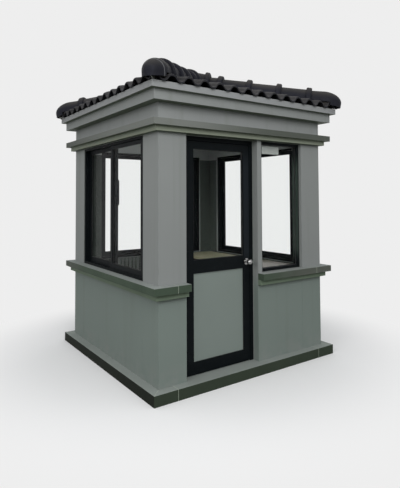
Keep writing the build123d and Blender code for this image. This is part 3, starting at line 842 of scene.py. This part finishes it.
# %% The tile maker
def tile_maker(material):
    sizes = {
        "Half Wave": half_wave,
        "Arc Radius": arc_radius,
        "Arc Angle": arc_half_angle,
        "Thickness": TILE_THICKNESS,
        "Length": course_run + TILE_LAP,
        "Slope": course_slope,
        "Nose": 7 * MM,
        "Across": WAVES // 2 + 1,
        "Course Run": course_run,
        "Course Rise": course_run * course_slope + tile_step,
        "Seed": 7,
    }
    tree = Maker("wave_tiles", sizes)
    size = tree.sizes

    # One tile: a line of points swung up and down along four arcs, drawn out, then thickened.
    arc_points = 7
    line = tree.node("GeometryNodeMeshLine", None, {"Count": 4 * arc_points + 1})[0]
    step = tree.node("GeometryNodeInputIndex")[0] / arc_points
    arc = tree.math("MINIMUM", tree.math("FLOOR", step), 3.0)
    swing = (2 * (step - arc) - 1) * size["Arc Angle"]
    across = (arc + 0.5) * size["Half Wave"] + size["Arc Radius"] * tree.math("SINE", swing)
    edge_level = tree.math("COSINE", size["Arc Angle"])
    bulge = size["Arc Radius"] * (tree.math("COSINE", swing) - edge_level)
    height = bulge * (1 - 2 * (arc % 2))
    values = {"Geometry": line, "Position": tree.vector(across, 0.0, height)}
    wave = tree.node("GeometryNodeSetPosition", None, values)[0]

    def drawn(edge, run, rise, chosen=True):
        """Draw chosen edges out along the slope; gives the sheet and its far edge."""
        values = {"Mesh": edge, "Selection": chosen, "Offset": tree.vector(0.0, run, rise)}
        return tree.node("GeometryNodeExtrudeMesh", {"mode": "EDGES"}, values)

    nose = size["Nose"]
    length = size["Length"] - nose
    first = drawn(wave, nose, nose * size["Slope"] + NOSE_ROUND)
    sheet = drawn(first["Mesh"], length, length * size["Slope"], first["Top"])["Mesh"]
    thick = tree.vector(0.0, 0.0, size["Thickness"])
    values = {"Mesh": sheet, "Offset": thick, "Individual": False}
    top = tree.node("GeometryNodeExtrudeMesh", {"mode": "FACES"}, values)["Mesh"]
    under = tree.node("GeometryNodeFlipFaces", None, {0: sheet})[0]
    values = {"Geometry": tree.together([top, under]), "Distance": 0.05 * MM}
    solid = tree.node("GeometryNodeMergeByDistance", None, values)[0]

    # The courses: one point for each tile, every second course set over by one wave.
    count = size["Across"] * COURSES
    spots = tree.node("GeometryNodePoints", None, {"Count": count})[0]
    index = tree.node("GeometryNodeInputIndex")[0]
    course = tree.math("FLOOR", index / size["Across"])
    column = index % size["Across"]
    tile_width = 4 * size["Half Wave"]
    left = (column - (size["Across"] - 1) * 0.5) * tile_width - (course % 2) * 2 * size["Half Wave"]
    seat = tree.vector(left, course * size["Course Run"], course * size["Course Rise"])
    spots = tree.node("GeometryNodeSetPosition", None, {"Geometry": spots, "Position": seat})[0]

    def chance(low, high, offset):
        """A random number for each tile."""
        values = {2: low, 3: high, "Seed": size["Seed"] + offset}
        return tree.node("FunctionNodeRandomValue", {"data_type": "FLOAT"}, values)[1]

    laid = tree.on_points(spots, solid)
    shift = tree.vector(chance(-0.6 * MM, 0.6 * MM, 1), chance(0.0, 4 * MM, 2), 0.0)
    values = {"Instances": laid, "Translation": shift}
    laid = tree.node("GeometryNodeTranslateInstances", None, values)[0]
    values = {"Geometry": laid, "Name": "tile_tone", "Value": chance(0.0, 1.0, 4)}
    stored = {"data_type": "FLOAT", "domain": "INSTANCE"}
    laid = tree.node("GeometryNodeStoreNamedAttribute", stored, values)[0]
    return tree.close(laid, material)


tiles = tile_maker(field_tile)
print("inputs:", list(tiles.keys))


# %% [markdown]
# The grid of tiles is wider than the slope, as on site, where the last tiles are cut along the
# hip with a disc cutter. A cut through the mesh on each hip line does the same, and the open
# ends are filled. The other three slopes are quarter turns of the first.


# %% Lay and cut the slopes
def cut_along_hips(mesh):
    """Cut a slope's tiles on both hip lines and close the cut ends."""
    work = bmesh.new()
    work.from_mesh(mesh)
    for side in (-1, 1):
        geometry = work.verts[:] + work.edges[:] + work.faces[:]
        plane = {"plane_co": (0, 0, 0), "plane_no": (side, 1, 0), "clear_outer": True}
        cut = bmesh.ops.bisect_plane(work, geom=geometry, **plane)
        edges = [g for g in cut["geom_cut"] if isinstance(g, bmesh.types.BMEdge)]
        bmesh.ops.edgeloop_fill(work, edges=edges)
    bmesh.ops.recalc_face_normals(work, faces=work.faces)
    work.to_mesh(mesh)
    work.free()


for side, turns in SIDES.items():
    mesh = tiles.mesh(f"tiles_{side}", Seed=7 + 10 * turns)
    mesh.transform(Matrix.Translation((0, -eave, eave_seat + arc_sag)))
    cut_along_hips(mesh)
    mesh.transform(quarter_turns(turns))
    smooth(mesh, 32)
    piece = added(f"roof_tiles_{side}", mesh, "booth")
    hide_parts(f"roof_{side}")
low, high = piece.bound_box[0], piece.bound_box[6]
print("left slope from", tuple(round(v, 3) for v in low), "to", tuple(round(v, 3) for v in high))

# %% [markdown]
# ## Seals round the panes
# Each pane is held by a rubber bead that stands just proud of its frame, and the frames are
# sealed to the walls with a bead of silicone, a fatter one round the door. All are a small
# round section that follows a rectangle, so one tree makes them from a width, a height and a
# section, and sets one on each face of a pane or frame.


# %% The bead maker
def bead_maker(name, material):
    sizes = {"Width": 1.0, "Height": 1.0, "Radius": 2 * MM, "Gap": 5 * MM}
    tree = Maker(name, sizes)
    size = tree.sizes
    values = {"Width": size["Width"], "Height": size["Height"]}
    path = tree.node("GeometryNodeCurvePrimitiveQuadrilateral", {"mode": "RECTANGLE"}, values)[0]
    values = {"Resolution": 8, "Radius": size["Radius"]}
    section = tree.node("GeometryNodeCurvePrimitiveCircle", None, values)[0]
    values = {"Curve": path, "Profile Curve": section}
    bead = tree.node("GeometryNodeCurveToMesh", None, values)[0]
    bead = tree.node("GeometryNodeSetShadeSmooth", None, {0: bead})[0]
    return tree.close(tree.row(bead, 2, size["Gap"], 2), material)


rubber_tones = (srgb(18, 18, 18), srgb(32, 32, 32))
rubber = plain_finish("black_rubber", *rubber_tones, (600.0, 2.0), 0.62, gain=0.15, depth=0.1 * MM)
silicone_tones = (srgb(96, 100, 98), srgb(118, 122, 118))
silicone_relief = {"gain": 0.1, "depth": 0.4 * MM}
silicone = plain_finish("grey_silicone", *silicone_tones, (60.0, 2.0), 0.35, **silicone_relief)
seals = bead_maker("pane_seals", rubber)
sealant = bead_maker("wall_sealant", silicone)
print("bead inputs:", list(seals.keys))


# %% Seals and sealant
PANE_BITE = 6.5 * MM  # how far a pane sits in its frame
SEAL_RADIUS = 2.2 * MM
WALL_BEAD_RADIUS = 2.5 * MM
DOOR_BEAD_RADIUS = 4 * MM
DOOR_BEAD_DEPTH = 45 * MM
DOOR_BEAD_FOOT = 30 * MM  # its lowest run lies in the plinth


def beads_round(maker, low, high, inset, radius):
    """Beads on both faces of an upright box, inset from its edges."""
    size = high - low
    width, thickness = max(size.x, size.y), min(size.x, size.y)
    sizes = {"Width": width - inset, "Height": size.z - inset, "Gap": thickness + radius}
    mesh = maker.mesh("bead", Radius=radius, **sizes)
    mesh.transform(Matrix.Rotation(pi / 2, 4, "X"))
    if size.x < size.y:
        mesh.transform(quarter_turns(1))
    mesh.transform(Matrix.Translation((low + high) / 2))
    return mesh


def pane_seals(name, panes, body):
    """Rubber beads on both faces of panes, just inside the edges of their frames."""
    inset = 2 * (PANE_BITE + SEAL_RADIUS / 2)
    meshes = [beads_round(seals, low, high, inset, SEAL_RADIUS) for low, high in panes]
    added(name, joined(name, meshes), body)


wall_panes = [pane for side in SIDES for pane in islands(f"window_glass_{side}")]
pane_seals("window_seals", wall_panes, "booth")
door_panes = [islands(name)[0] for name in ("door_glass", "door_panel")]
pane_seals("door_seals", door_panes, "door")

beads = [
    beads_round(sealant, *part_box(f"window_frame_{side}"), WALL_BEAD_RADIUS, WALL_BEAD_RADIUS)
    for side in SIDES
]
low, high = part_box("door_frame")
low = Vector((low.x, high.y - DOOR_BEAD_DEPTH, low.z - DOOR_BEAD_FOOT))
beads.append(beads_round(sealant, low, high, DOOR_BEAD_RADIUS, DOOR_BEAD_RADIUS))
added("frame_sealant", joined("frame_sealant", beads), "booth")

# %% [markdown]
# ## Grout in the joints
# The stone lengths of the plinth and the sills meet in narrow joints 205 mm from each corner,
# filled with a pale grout, and the plinth's ledges are mitred at the corners. The grout shows
# as thin light lines. It fills the grooves of the solids and lies nearly flush on the ledges.


# %% Grout strips
JOINT_FROM_CORNER = 205 * MM
JOINT_WIDTH = 3 * MM
JOINT_DEPTH = 2 * MM
proud = 0.25 * MM
GROUTED = ("front", "right", "back")  # the left joints are bare


def joint_strips(outer, low, high, ledge):
    """Grout on one side's two joints: up the face and across the ledge."""
    strips = []
    for place in (-1, 1):
        middle = place * (outer - JOINT_FROM_CORNER)
        left, right = middle - JOINT_WIDTH / 2, middle + JOINT_WIDTH / 2
        strips.append(((left, -outer - proud, low), (right, -outer + JOINT_DEPTH, high)))
        strips.append(((left, -outer, high - JOINT_DEPTH), (right, -outer + ledge, high + proud)))
    return strips


def round_the_booth(name, boxes, sides):
    """The same strips on several sides, as one mesh."""
    meshes = []
    for side in sides:
        mesh = boxes_mesh(name, boxes)
        mesh.transform(quarter_turns(SIDES[side]))
        meshes.append(mesh)
    return meshes


grout_tones = (srgb(132, 142, 128), srgb(168, 174, 160))
grout = plain_finish("pale_grout", *grout_tones, (700.0, 2.0), 0.85, gain=0.1, depth=0.3 * MM)
plinth_outer = plinth_high.x
plinth_top = plinth_high.z
plinth_ledge = plinth_outer - face
plinth_boxes = joint_strips(plinth_outer, plinth_low.z + 1 * MM, plinth_top, plinth_ledge)
plinth_strips = round_the_booth("plinth_grout", plinth_boxes, GROUTED)
mitre_low = (0, -JOINT_WIDTH / 2, -proud)
mitre_high = (plinth_ledge * sqrt(2), JOINT_WIDTH / 2, proud)
for turns in range(4):
    mesh = boxes_mesh("mitre", [(mitre_low, mitre_high)])
    mesh.transform(Matrix.Rotation(-3 * pi / 4, 4, "Z"))
    mesh.transform(Matrix.Translation((-face, -face, plinth_top)))
    mesh.transform(quarter_turns(turns))
    plinth_strips.append(mesh)
added("plinth_grout", joined("plinth_grout", plinth_strips), "booth", grout)

sill_outer = -sill_low.x
sill_boxes = joint_strips(sill_outer, cap_foot, sill_high.z, sill_outer - face)
sill_strips = round_the_booth("sill_grout", sill_boxes, GROUTED)
added("sill_grout", joined("sill_grout", sill_strips), "booth", grout)

# %% [markdown]
# ## Bedding under the hip tiles
# Hip tiles are laid in mortar, which closes the troughs of the waves beside them. It is dark,
# like the tiles, and stands back under their edges. A solid bar under each hip does this; it
# only shows between a tile's edge and the waves.


# %% Hip bedding
BEDDING_WIDTH = 148 * MM
BEDDING_ABOVE, BEDDING_BELOW = 14 * MM, 45 * MM  # from the line of the waves' tops
BEDDING_FROM_APEX = 100 * MM
BEDDING_FROM_CORNER = 90 * MM


def hip_bedding():
    """A bar of mortar under each hip, from near the apex to the eave's corner."""
    half = BEDDING_WIDTH / 2
    corner = eave * sqrt(2)
    work = bmesh.new()
    low, high = -BEDDING_BELOW, BEDDING_ABOVE
    section = ((-half, low), (half, low), (half, high), (-half, high))
    ends = []
    for reach in (BEDDING_FROM_APEX, corner - BEDDING_FROM_CORNER):
        middle = crest + (corner - reach) * tan(HIP_TIP)
        ends.append([work.verts.new((reach, across, middle + level)) for across, level in section])
    near, far = ends
    work.faces.new(near)
    work.faces.new(reversed(far))
    for i in range(4):
        work.faces.new((near[i], far[i], far[(i + 1) % 4], near[(i + 1) % 4]))
    bmesh.ops.recalc_face_normals(work, faces=work.faces)
    bar = finished(work, "bedding")
    bars = []
    for turns in range(4):
        bars.append(bar.copy())
        bars[-1].transform(Matrix.Rotation(radians(45 + 90 * turns), 4, "Z"))
    return joined("hip_bedding", bars)


mortar_tones = (srgb(38, 37, 37), srgb(66, 63, 60))
mortar = plain_finish("dark_mortar", *mortar_tones, (300.0, 3.0), 0.9, depth=1.5 * MM)
added("hip_bedding", hip_bedding(), "booth", mortar)

# %% [markdown]
# ## Boards inside
# Below the windows the room is lined with narrow grey boards, seen through the left window as
# upright stripes. A tree sets one board along a line as often as the wall needs, with an open
# groove between neighbours, where the wall behind shows, painted darker as shade.


# %% Lining boards
BOARD_PITCH = 45 * MM
BOARD_GROOVE = 15 * MM
BOARD_THICKNESS = 8 * MM


def board_maker(material):
    sizes = {
        "Count": 20,
        "Pitch": BOARD_PITCH,
        "Groove": BOARD_GROOVE,
        "Height": 0.7,
        "Thickness": BOARD_THICKNESS,
    }
    tree = Maker("lining_boards", sizes)
    size = tree.sizes
    shape = tree.vector(size["Pitch"] - size["Groove"], size["Thickness"], size["Height"])
    board = tree.node("GeometryNodeMeshCube", None, {"Size": shape})[0]
    return tree.close(tree.row(board, size["Count"], size["Pitch"], 0), material)


board_tones = (srgb(68, 74, 70), srgb(88, 94, 90))
board_grain = (1.0, 4.0, (120, 120, 5))
board_coat = plain_finish("lining_board", *board_tones, board_grain, 0.5, gain=0.1, depth=0.1 * MM)
boards = board_maker(board_coat)
floor_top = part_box("floor")[1].z


def lining(side, left, right, top):
    """Boards on the inside of one wall, from left to right as seen from outside it."""
    count = int((right - left) / BOARD_PITCH)
    mesh = boards.mesh(f"lining_{side}", Count=count, Height=top - floor_top)
    place = ((left + right) / 2, -inner + BOARD_THICKNESS / 2, (floor_top + top) / 2)
    mesh.transform(Matrix.Translation(place))
    mesh.transform(quarter_turns(SIDES[side]))
    return mesh


CLEARANCE = 5 * MM
desk_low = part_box("desk")[0]
post_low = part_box("door_post")[0]
beside_desk = desk_low.x - CLEARANCE
under_sill = sill_high.z - CLEARANCE
linings = [
    lining("front", post_low.x + CLEARANCE, beside_desk, under_sill),
    lining("right", -inner + 35 * MM, inner - 35 * MM, desk_low.z - CLEARANCE),
    lining("back", -beside_desk, inner - CLEARANCE, under_sill),
    lining("left", -inner + 15 * MM, inner - 15 * MM, under_sill),
]
added("lining_boards", joined("lining_boards", linings), "booth")

# %% [markdown]
# ## Screws in the hinges
# Four countersunk screws hold each leaf of a hinge. A screw head is a low cone with a cross
# recess, drawn as two near-black bars that paint its shade, repeated up the plate. The frame's
# half stays on the booth and the other half swings with the door, so each gets its own mesh.


# %% Hinge screws
def screw_maker(material, dark):
    sizes = {"Count": 4, "Spacing": 22 * MM, "Radius": 3.4 * MM, "Rise": 0.8 * MM}
    tree = Maker("screw_row", sizes)
    size = tree.sizes
    head = tree.node("GeometryNodeMeshCone", None, {
        "Vertices": 14,
        "Radius Top": size["Radius"] * 0.62,
        "Radius Bottom": size["Radius"],
        "Depth": size["Rise"],
    })[0]
    shapes = [tree.painted(head, material)]
    for across, along in ((1.0, 0.26), (0.26, 1.0)):
        shape = tree.vector(size["Radius"] * across, size["Radius"] * along, size["Rise"] * 2.06)
        bar = tree.node("GeometryNodeMeshCube", None, {"Size": shape})[0]
        shapes.append(tree.painted(bar, dark))
    return tree.close(tree.row(tree.together(shapes), size["Count"], size["Spacing"], 1))


# A near-black coat that paints the shade in the screws' cross recesses and in the key slot.
recess = powder_coat("screw_recess", srgb(12, 12, 12))
screws = screw_maker(powder_coat("black_screw", srgb(30, 31, 33)), recess)
HINGE_FROM_END = 150 * MM
PLATE_WIDTH = 28 * MM
PLATE_THICKNESS = 3 * MM
KNUCKLE_REACH = 8 * MM
PIN_TO_FACE = 7 * MM  # from the pin to the leaf's face


def joint_place(name):
    """Where a joint of the booth has its axis."""
    return Vector(next(j for j in frame["joints"] if j["name"] == name)["pos_m"])


door_low, door_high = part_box("door_leaf")
pin = joint_place("door_hinge")
door_face = pin.y + PIN_TO_FACE
lowest = door_low.z + HINGE_FROM_END
highest = door_high.z - HINGE_FROM_END
hinge_heights = (lowest, (lowest + highest) / 2, highest)


def hinge_screws(toward):
    """Rows of screws up the hinge plates on one side of the pin."""
    rows = []
    for height in hinge_heights:
        mesh = screws.mesh("row")
        mesh.transform(Matrix.Rotation(pi / 2, 4, "X"))
        x = pin.x + toward * (KNUCKLE_REACH + PLATE_WIDTH / 2)
        mesh.transform(Matrix.Translation((x, door_face - PLATE_THICKNESS, height)))
        rows.append(mesh)
    return rows


frame_screws = joined("frame_hinge_screws", hinge_screws(-1))
added("frame_hinge_screws", frame_screws, "booth")
leaf_screws = joined("leaf_hinge_screws", hinge_screws(1))
added("leaf_hinge_screws", leaf_screws, "door")

# %% [markdown]
# ## Key cylinder of the knob
# A knob of this kind has a key cylinder in its outer ball. It is a small turned part: a half
# outline is carried round an axis in steps, with one vertex where it meets the axis. It stands
# a little out of the ball, because the ball's crown would come through a flat face set deeper.
# The key slot is a dark bar across the cylinder, painted shade in place of an opening.


# %% Key cylinder and slot
def turned(name, outline, segments=40):
    """Turn a half outline of (radius, height) points, from axis to axis, into a solid."""
    work = bmesh.new()
    rings = []
    for radius, height in outline:
        angles = [2 * pi * i / segments for i in range(segments if radius else 1)]
        rings.append([work.verts.new((radius * cos(a), radius * sin(a), height)) for a in angles])
    for ring, onward in zip(rings, rings[1:]):
        for i in range(segments):
            j = i + 1
            steps = ((ring, i), (ring, j), (onward, j), (onward, i))
            corners = [line[k % len(line)] for line, k in steps]
            work.faces.new(tuple(dict.fromkeys(corners)))  # on the axis two corners are one
    bmesh.ops.recalc_face_normals(work, faces=work.faces)
    mesh = finished(work, name)
    smooth(mesh, 35)
    return mesh


CYLINDER_RADIUS = 9 * MM
CYLINDER_RIM = 0.9 * MM
CYLINDER_PROUD = 0.6 * MM
SLOT_WIDTH = 1.6 * MM
SLOT_HEIGHT = 9 * MM
knob_middle = joint_place("knob_turn")
knob_low, knob_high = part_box("door_knob")
ball_radius = (knob_high.x - knob_low.x) / 2
sunk = ball_radius - sqrt(ball_radius ** 2 - CYLINDER_RADIUS ** 2)
cylinder = turned("key_cylinder", [
    (0, sunk),
    (CYLINDER_RADIUS, sunk),
    (CYLINDER_RADIUS, -CYLINDER_RIM * 0.4),
    (CYLINDER_RADIUS - CYLINDER_RIM, -CYLINDER_RIM),
    (0, -CYLINDER_RIM),
])
key_face = knob_low.y - CYLINDER_PROUD
cylinder.transform(Matrix.Rotation(-pi / 2, 4, "X"))
cylinder.transform(Matrix.Translation((knob_middle.x, key_face + CYLINDER_RIM, knob_middle.z)))
added("key_cylinder", cylinder, "knob", steel)
slot_half = Vector((SLOT_WIDTH / 2, 0, SLOT_HEIGHT / 2))
slot_middle = Vector((knob_middle.x, key_face, knob_middle.z))
slot_low = slot_middle - slot_half - Vector((0, 0.1 * MM, 0))
slot_high = slot_middle + slot_half + Vector((0, 1.0 * MM, 0))
slot = boxes_mesh("key_slot", [(slot_low, slot_high)])
added("key_slot", slot, "knob", recess)

# %% [markdown]
# ## A bare plate in the side window
# A small plate hangs behind the glass, near the upper left corner of the fixed window. It is
# left bare: a thin pale board with eased edges.


# %% Bare plate
TAG_WIDTH, TAG_HEIGHT, TAG_THICKNESS = 210 * MM, 73 * MM, 4 * MM
TAG_FROM_LEFT, TAG_FROM_TOP, TAG_FROM_GLASS = 38.5 * MM, 13.5 * MM, 3 * MM
tag_tones = (srgb(112, 116, 114), srgb(126, 129, 126))
pale_plate = plain_finish("pale_plate", *tag_tones, (30.0, 3.0), 0.45, gain=0.1, depth=0.05 * MM)
pane_low, pane_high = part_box("window_glass_front")
tag_low = Vector((
    pane_low.x + TAG_FROM_LEFT,
    pane_high.y + TAG_FROM_GLASS,
    pane_high.z - TAG_FROM_TOP - TAG_HEIGHT,
))
tag_high = tag_low + Vector((TAG_WIDTH, TAG_THICKNESS, TAG_HEIGHT))
tag = boxes_mesh("bare_plate", [(tag_low, tag_high)], bevel=1.5 * MM)
added("bare_plate", tag, "booth", pale_plate)

# %% [markdown]
# ## Studio
# The booth stands on a plain pale floor under a bright even sky, with two broad soft lamps: the
# main one in front and a weaker one to the left. What the camera sees behind the booth is a
# plain pale grey, and so do rays off metal or through glass. Away from the booth the floor
# fades into that grey, so no horizon shows.

# %% Floor, world and lamps
BACKDROP = srgb(238, 238, 238)


def seen_by_eye(tree):
    """1 for rays that show the background: straight, off a mirror or through glass."""
    path = tree.node("ShaderNodeLightPath")
    seen = path["Is Camera Ray"] + path["Is Glossy Ray"] + path["Is Transmission Ray"]
    return tree.math("MINIMUM", seen, 1.0)


def sky():
    world = bpy.data.worlds.new("sky")
    world.use_nodes = True
    tree = Tree(world.node_tree)
    world.node_tree.nodes.clear()
    colour = tree.mix(seen_by_eye(tree), (0.74, 0.75, 0.76, 1), BACKDROP)
    back = tree.node("ShaderNodeBackground", None, {"Color": colour, "Strength": 1.0})[0]
    tree.node("ShaderNodeOutputWorld", None, {"Surface": back})
    return world


scene.world = sky()


FADE_FROM, FADE_TO = 1.35, 2.5  # distances from the booth's middle
FLOOR_REACH = 30.0


def floor_finish():
    """A pale floor that fades into the backdrop away from the booth."""
    finish = Finish("studio_floor")
    x, y, z = finish.parts(finish.place)
    away = finish.step(finish.math("SQRT", x * x + y * y), FADE_FROM, FADE_TO)
    pale = finish.mix(seen_by_eye(finish), srgb(96, 100, 90), srgb(232, 232, 232))
    matt = finish.node("ShaderNodeBsdfDiffuse", None, {"Color": pale})[0]
    plain = finish.node("ShaderNodeEmission", None, {"Color": BACKDROP, "Strength": 1.0})[0]
    share = away * seen_by_eye(finish)
    both = finish.node("ShaderNodeMixShader", None, {0: share, 1: matt, 2: plain})[0]
    finish.node("ShaderNodeOutputMaterial", None, {"Surface": both})
    return finish.material


ground = bpy.data.meshes.new("studio_floor")
corners = [(x * FLOOR_REACH, y * FLOOR_REACH, 0) for x, y in ((-1, -1), (1, -1), (1, 1), (-1, 1))]
ground.from_pydata(corners, [], [(0, 1, 2, 3)])
ground.materials.append(floor_finish())
studio_floor = bpy.data.objects.new("studio_floor", ground)
scene.collection.objects.link(studio_floor)
studio_floor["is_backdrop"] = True


def soft_lamp(name, place, width, power):
    """A square lamp that looks at the middle of the booth."""
    lamp = bpy.data.objects.new(name, bpy.data.lights.new(name, "AREA"))
    lamp.data.size = width
    lamp.data.energy = power
    lamp.location = place
    lamp.rotation_mode = "QUATERNION"
    lamp.rotation_quaternion = (LAMP_TARGET - lamp.location).to_track_quat("-Z", "Y")
    scene.collection.objects.link(lamp)


LAMP_TARGET = Vector((0, 0, 1.3))
soft_lamp("broad_lamp", place=Vector((-2.2, -5.2, 4.2)), width=3.0, power=164)
soft_lamp("side_lamp", place=Vector((-5.8, -2.3, 3.2)), width=3.0, power=76)
scene.view_settings.view_transform = "Standard"

# %% Finish
low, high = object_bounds()
